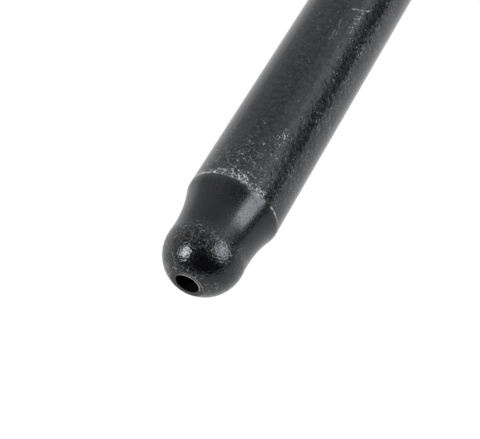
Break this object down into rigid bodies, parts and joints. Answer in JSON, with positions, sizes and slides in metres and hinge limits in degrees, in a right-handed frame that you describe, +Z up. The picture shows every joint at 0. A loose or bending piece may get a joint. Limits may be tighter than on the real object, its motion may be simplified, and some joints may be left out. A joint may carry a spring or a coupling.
{
  "type": "engine pushrod",
  "caption": "Engine pushrod: a straight hollow steel rod with a necked ball formed on each end and an oil passage through it, in a worn black finish.",
  "frame": {"origin": "middle of the rod, on its axis", "axes": "+Y along the rod, the pictured ball end towards -Y; +Z up with the rod lying level"},
  "size_m": [0.0096, 0.2102, 0.0094],
  "materials": {
    "black_steel": "satin black oxide, rubbed pale at the shoulder"
  },
  "bodies": {
    "root": {"pushrod": "black_steel"}
  },
  "joints": []
}
